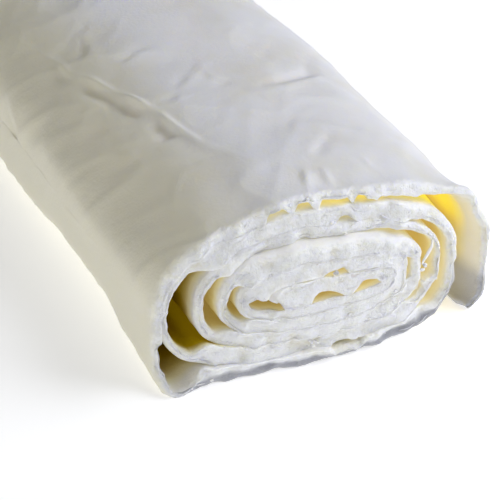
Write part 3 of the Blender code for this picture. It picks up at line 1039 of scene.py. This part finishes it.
for name, (base, layers) in LAYERS.items():
    laid[name] = linear(base)
    for driver, low, high, colour in layers:
        share = node(tree, "ShaderNodeMapRange", {"Value": driver, "From Min": low, "From Max": high})
        over = laid[colour] if colour in laid else linear(colour)
        mixed = node(tree, "ShaderNodeMix", {"Factor": share.outputs["Result"], "A": laid[name], "B": over},
                     data_type="RGBA")
        laid[name] = mixed.outputs["Result"]
glow_strength = node(tree, "ShaderNodeMath", {0: mask["glow"], 1: GLOW_STRENGTH}, operation="MULTIPLY")
tree.links.new(laid["cheese"], shader.inputs["Base Color"])
tree.links.new(laid["cheese"], shader.inputs["Emission Color"])
tree.links.new(glow_strength.outputs["Value"], shader.inputs["Emission Strength"])
print(sum(len(layers) for _, layers in LAYERS.values()), "layers of colour")

# %% [markdown]
# Pulled curd is made of fibres about a millimetre apart. They stand out on the torn faces and hardly show on
# the skin, so a fine noise lifts the surface by a share that the mask of the torn faces sets.

# %% Fibres of the curd
FIBRE_SIZE, FIBRE_HEIGHT = 0.9, 0.9
SKIN_FIBRES, TORN_FIBRES = 0.15, 1.0
fibres = node(tree, "ShaderNodeTexNoise", {"Vector": object_place, "Scale": 1 / (FIBRE_SIZE * MM),
                                           "Detail": 4.0, "Roughness": 0.6})
share = node(tree, "ShaderNodeMapRange", {"Value": mask["torn"], "To Min": SKIN_FIBRES,
                                          "To Max": TORN_FIBRES})
height = node(tree, "ShaderNodeMath", {0: fibres.outputs["Fac"], 1: share.outputs["Result"]},
              operation="MULTIPLY")
bump = node(tree, "ShaderNodeBump", {"Height": height.outputs["Value"], "Distance": FIBRE_HEIGHT * MM,
                                     "Strength": 0.85})
tree.links.new(bump.outputs["Normal"], shader.inputs["Normal"])
print(len(tree.nodes), "nodes in the cheese")

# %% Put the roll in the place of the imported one
mesh.materials.append(cheese)
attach(sheet, "root")
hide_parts("mozzarella_sheet")

# %% [markdown]
# ## Threads and crumbs
#
# Stretched curd tears into threads. Fine ones lie along the torn edges, one thicker strand hangs in the
# cavity at the right, and crumbs stick between them. Each thread is a thin tapered tube that follows the torn
# face and lifts off it a little. Each crumb is a small ball with a lumpy surface, sunk partly into the face.

# %% Threads along the torn edges
# how many, and the ranges of a thread's place, length in millimetres, drift across, lift and radius
THREAD_COUNT = 190
THREAD_POINTS, THREAD_SIDES = 7, 5
CORE_TURN = TURNS - 0.1
THREAD_TURNS = (0.22, CORE_TURN)
THREAD_SIDE, SIDE_CHANGE = 0.95, (0.75, 1.1)
THREAD_LENGTHS, THREAD_DRIFT = (1.2, 4.0), 0.5
THREAD_LIFTS, THREAD_RADII = (0.05, 0.5), (0.07, 0.17)
STAND_OFF = 0.08
# the strand that hangs in the right cavity, in the section frame
STRAND = ((24.9, -4.5, 25.1), (24.3, -5.2, 23.8), (23.3, -5.4, 22.3), (22.5, -5.5, 21.2), (21.9, -5.5, 20.0))
STRAND_RADIUS = 0.42


def tube(path, radius):
    """Points and faces of a thin tube along a path, tapered at both ends."""
    path = np.asarray(path)
    run = np.gradient(path, axis=0)
    run /= np.linalg.norm(run, axis=1)[:, None]
    across = np.cross(run, (0.0, 1.0, 0.2))
    across /= np.linalg.norm(across, axis=1)[:, None]
    upward = np.cross(across, run)
    u = np.linspace(0, 1, len(path))
    widths = radius * (0.25 + 0.75 * np.sin(np.pi * np.clip(u, 0.02, 0.98)) ** 0.5)
    angles = np.arange(THREAD_SIDES) * 2 * np.pi / THREAD_SIDES
    rings = (path[:, None] + widths[:, None, None] * (np.cos(angles)[None, :, None] * across[:, None]
                                                      + np.sin(angles)[None, :, None] * upward[:, None]))
    walls = [(i * THREAD_SIDES + j, i * THREAD_SIDES + (j + 1) % THREAD_SIDES,
              (i + 1) * THREAD_SIDES + (j + 1) % THREAD_SIDES, (i + 1) * THREAD_SIDES + j)
             for i in range(len(path) - 1) for j in range(THREAD_SIDES)]
    last = (len(path) - 1) * THREAD_SIDES
    caps = [tuple(reversed(range(THREAD_SIDES))), tuple(range(last, last + THREAD_SIDES))]
    return rings.reshape(-1, 3), walls + caps


def thread_path(turn, side, length, drift, lift):
    """A path that starts on the near torn face and runs along it, drifting across the sheet."""
    u = np.linspace(0, 1, THREAD_POINTS)
    places = np.interp(turn, DENSE_TURNS, DENSE_LENGTHS) + length * u
    turns = np.interp(places, DENSE_LENGTHS, DENSE_TURNS)
    path = sheet_points(turns, side + drift * u, np.zeros(THREAD_POINTS)) + SHIFT
    path[:, 1] -= STAND_OFF + lift * np.sin(np.pi * u) ** 2 + lift * u / 4
    return path


def add_piece(name, parts):
    """One object from many small closed meshes."""
    all_points, all_faces = [], []
    for part_points, part_faces in parts:
        first = len(all_points)
        all_points.extend(part_points)
        all_faces.extend([tuple(first + i for i in face) for face in part_faces])
    piece_mesh = bpy.data.meshes.new(name)
    piece_mesh.from_pydata(stay_inside(np.array(all_points)) * MM, [], all_faces)
    piece_mesh.update()
    piece_mesh.shade_smooth()
    piece_mesh.materials.append(cheese)
    piece = bpy.data.objects.new(name, piece_mesh)
    bpy.context.scene.collection.objects.link(piece)
    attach(piece, "root")
    print(name, len(all_points), "points,", len(all_faces), "faces")


dice = np.random.default_rng(7)
threads = []
for _ in range(THREAD_COUNT):
    turn = dice.uniform(*THREAD_TURNS)
    side = dice.choice((-THREAD_SIDE, THREAD_SIDE)) * dice.uniform(*SIDE_CHANGE)
    length = dice.uniform(*THREAD_LENGTHS)
    drift, lift = dice.uniform(-THREAD_DRIFT, THREAD_DRIFT), dice.uniform(*THREAD_LIFTS)
    threads.append(tube(thread_path(turn, side, length, drift, lift), dice.uniform(*THREAD_RADII)))
threads.append(tube(STRAND + SHIFT, STRAND_RADIUS))
add_piece("torn_threads", threads)

# %% Crumbs on the torn faces
CRUMB_COUNT, CRUMB_RADII, CRUMB_SINK = 110, (0.16, 0.50), 0.1
CRUMB_TURNS, CRUMB_PLACES = (0.24, CORE_TURN), (0.5, 1.0)
CRUMB_RINGS, CRUMB_SIDES = 6, 9
LUMPINESS, CRUMB_LUMP = 0.45, 1.3
# where crumbs cling together, in the section frame: at the right cavity, in the core and low on the left
CLUSTERS = ((22.3, -5.4, 19.0), (0.9, -6.2, 23.2), (-4.0, -4.6, 5.6))
CLUSTER_COUNT, CLUSTER_SPREAD, CLUSTER_RADII = 6, 0.9, (0.3, 0.65)


def crumb(centre, radius, seed):
    """Points and faces of a lumpy ball: one point at each pole and rings between them."""
    ball = [(0.0, 0.0, 1.0)]
    for ring in range(1, CRUMB_RINGS):
        tilt = math.pi * ring / CRUMB_RINGS
        ball += [(math.sin(tilt) * math.cos(2 * math.pi * k / CRUMB_SIDES),
                  math.sin(tilt) * math.sin(2 * math.pi * k / CRUMB_SIDES), math.cos(tilt))
                 for k in range(CRUMB_SIDES)]
    ball = np.array(ball + [(0.0, 0.0, -1.0)])
    lumpy = 1 + LUMPINESS * noise(ball.T * 2.0, CRUMB_LUMP, seed, 2)
    faces = []
    last = len(ball) - 1
    for k in range(CRUMB_SIDES):
        after = (k + 1) % CRUMB_SIDES
        faces.append((0, 1 + k, 1 + after))
        for ring in range(CRUMB_RINGS - 2):
            low, high = 1 + ring * CRUMB_SIDES, 1 + (ring + 1) * CRUMB_SIDES
            faces.append((low + k, high + k, high + after, low + after))
        faces.append((last - CRUMB_SIDES + k, last, last - CRUMB_SIDES + after))
    return np.asarray(centre) + radius * ball * lumpy[:, None] * (1.0, 0.8, 0.8), faces


crumbs = []
for k in range(CRUMB_COUNT):
    turn = np.array([dice.uniform(*CRUMB_TURNS)])
    side = np.array([dice.choice((-1.0, 1.0)) * dice.uniform(*CRUMB_PLACES)])
    radius = dice.uniform(*CRUMB_RADII)
    centre = (sheet_points(turn, side, np.zeros(1)) + SHIFT)[0]
    centre[1] -= CRUMB_SINK * radius
    crumbs.append(crumb(centre, radius, 200 + k))
for middle in CLUSTERS:
    for k in range(CLUSTER_COUNT):
        offset = dice.uniform(-CLUSTER_SPREAD, CLUSTER_SPREAD, 3) * (1.0, 0.4, 0.9)
        crumbs.append(crumb(middle + offset + SHIFT, dice.uniform(*CLUSTER_RADII), 400 + k))
add_piece("cheese_crumbs", crumbs)

# %% [markdown]
# ## Floor and light
#
# The roll lies on a pale board in even daylight. A large window stands at the right and a little in front,
# and weak fills come from the front left and from the left, with a trace of light from behind.

# %% Floor
# Painted board: almost white and matt. Its faint glow stands for the light of a bright room all around.
FLOOR_SIZE = 3.0
half_floor = FLOOR_SIZE / 2
floor_mesh = bpy.data.meshes.new("pale_floor")
floor_mesh.from_pydata([(-half_floor, -half_floor, 0), (half_floor, -half_floor, 0),
                        (half_floor, half_floor, 0), (-half_floor, half_floor, 0)], [], [(0, 1, 2, 3)])
floor = bpy.data.objects.new("pale_floor", floor_mesh)
bpy.context.scene.collection.objects.link(floor)
floor_paint = bpy.data.materials.new("painted_board")
floor_paint.use_nodes = True
paint = floor_paint.node_tree.nodes["Principled BSDF"]
paint.inputs["Base Color"].default_value = linear("#F4F4F4")
paint.inputs["Roughness"].default_value = 0.7
paint.inputs["Emission Color"].default_value = linear("#FFFFFF")
paint.inputs["Emission Strength"].default_value = 0.42
floor_mesh.materials.append(floor_paint)
print("floor", FLOOR_SIZE, "m wide")

# %% Light
scene = bpy.context.scene
scene.view_settings.view_transform = "Standard"
world = bpy.data.worlds.new("soft_studio")
scene.world = world
world.use_nodes = True
background = world.node_tree.nodes["Background"]
background.inputs["Color"].default_value = linear("#F2F4FA")
background.inputs["Strength"].default_value = 0.10


def add_area_light(name, place, aim, size, power, colour):
    """A square lamp at a place in metres that points at an aim."""
    data = bpy.data.lights.new(name, "AREA")
    data.shape = "SQUARE"
    data.size = size
    data.energy = power
    data.color = linear(colour)[:3]
    lamp = bpy.data.objects.new(name, data)
    lamp.location = place
    lamp.rotation_euler = (Vector(aim) - Vector(place)).to_track_quat("-Z", "Y").to_euler()
    scene.collection.objects.link(lamp)
    print(name, power, "W")


add_area_light("window_light", (0.62, -0.32, 0.54), (0, -0.05, 0.02), 0.7, 7.0, "#F6F8FF")
add_area_light("front_fill", (-0.60, -0.95, 0.52), (0, 0, 0.02), 0.9, 3.0, "#FFFEFA")
add_area_light("side_fill", (-1.0, -0.1, 0.45), (0, 0, 0.02), 0.9, 1.8, "#FFFEFA")
add_area_light("back_light", (0.30, 1.0, 0.75), (0, 0, 0.02), 0.9, 0.3, "#F4F6FF")

# %% [markdown]
# ## Camera
#
# The camera looks down at 31 degrees and in at the mouth from the left, from a little over half a metre away
# through a long lens, so that the roll narrows only a little towards its far end.

# %% Camera
CAMERA_ELEVATION = math.radians(31.0)
CAMERA_SWING = math.radians(24.4)
CAMERA_FROM_MOUTH = Vector((-179.6, -357.7, 266.4))
FOCAL_LENGTH = 154.3
SENSOR_WIDTH = 36.0
CLIP_START = 0.01

camera_data = bpy.data.cameras.new("photo_camera")
camera_data.lens = FOCAL_LENGTH
camera_data.sensor_width = SENSOR_WIDTH
camera_data.sensor_fit = "HORIZONTAL"
camera_data.clip_start = CLIP_START
camera = bpy.data.objects.new("photo_camera", camera_data)
camera.location = (CAMERA_FROM_MOUTH + Vector(SHIFT)) * MM
look = Vector((math.sin(CAMERA_SWING) * math.cos(CAMERA_ELEVATION),
               math.cos(CAMERA_SWING) * math.cos(CAMERA_ELEVATION), -math.sin(CAMERA_ELEVATION)))
camera.rotation_euler = look.to_track_quat("-Z", "Y").to_euler()
scene.collection.objects.link(camera)
scene.camera = camera
print(f"camera {camera.location.length:.2f} m away")

# %% [markdown]
# ## Update the scene
#
# The fine roll has to stay inside the imported one's box.

# %% Update the scene
bpy.context.view_layer.update()
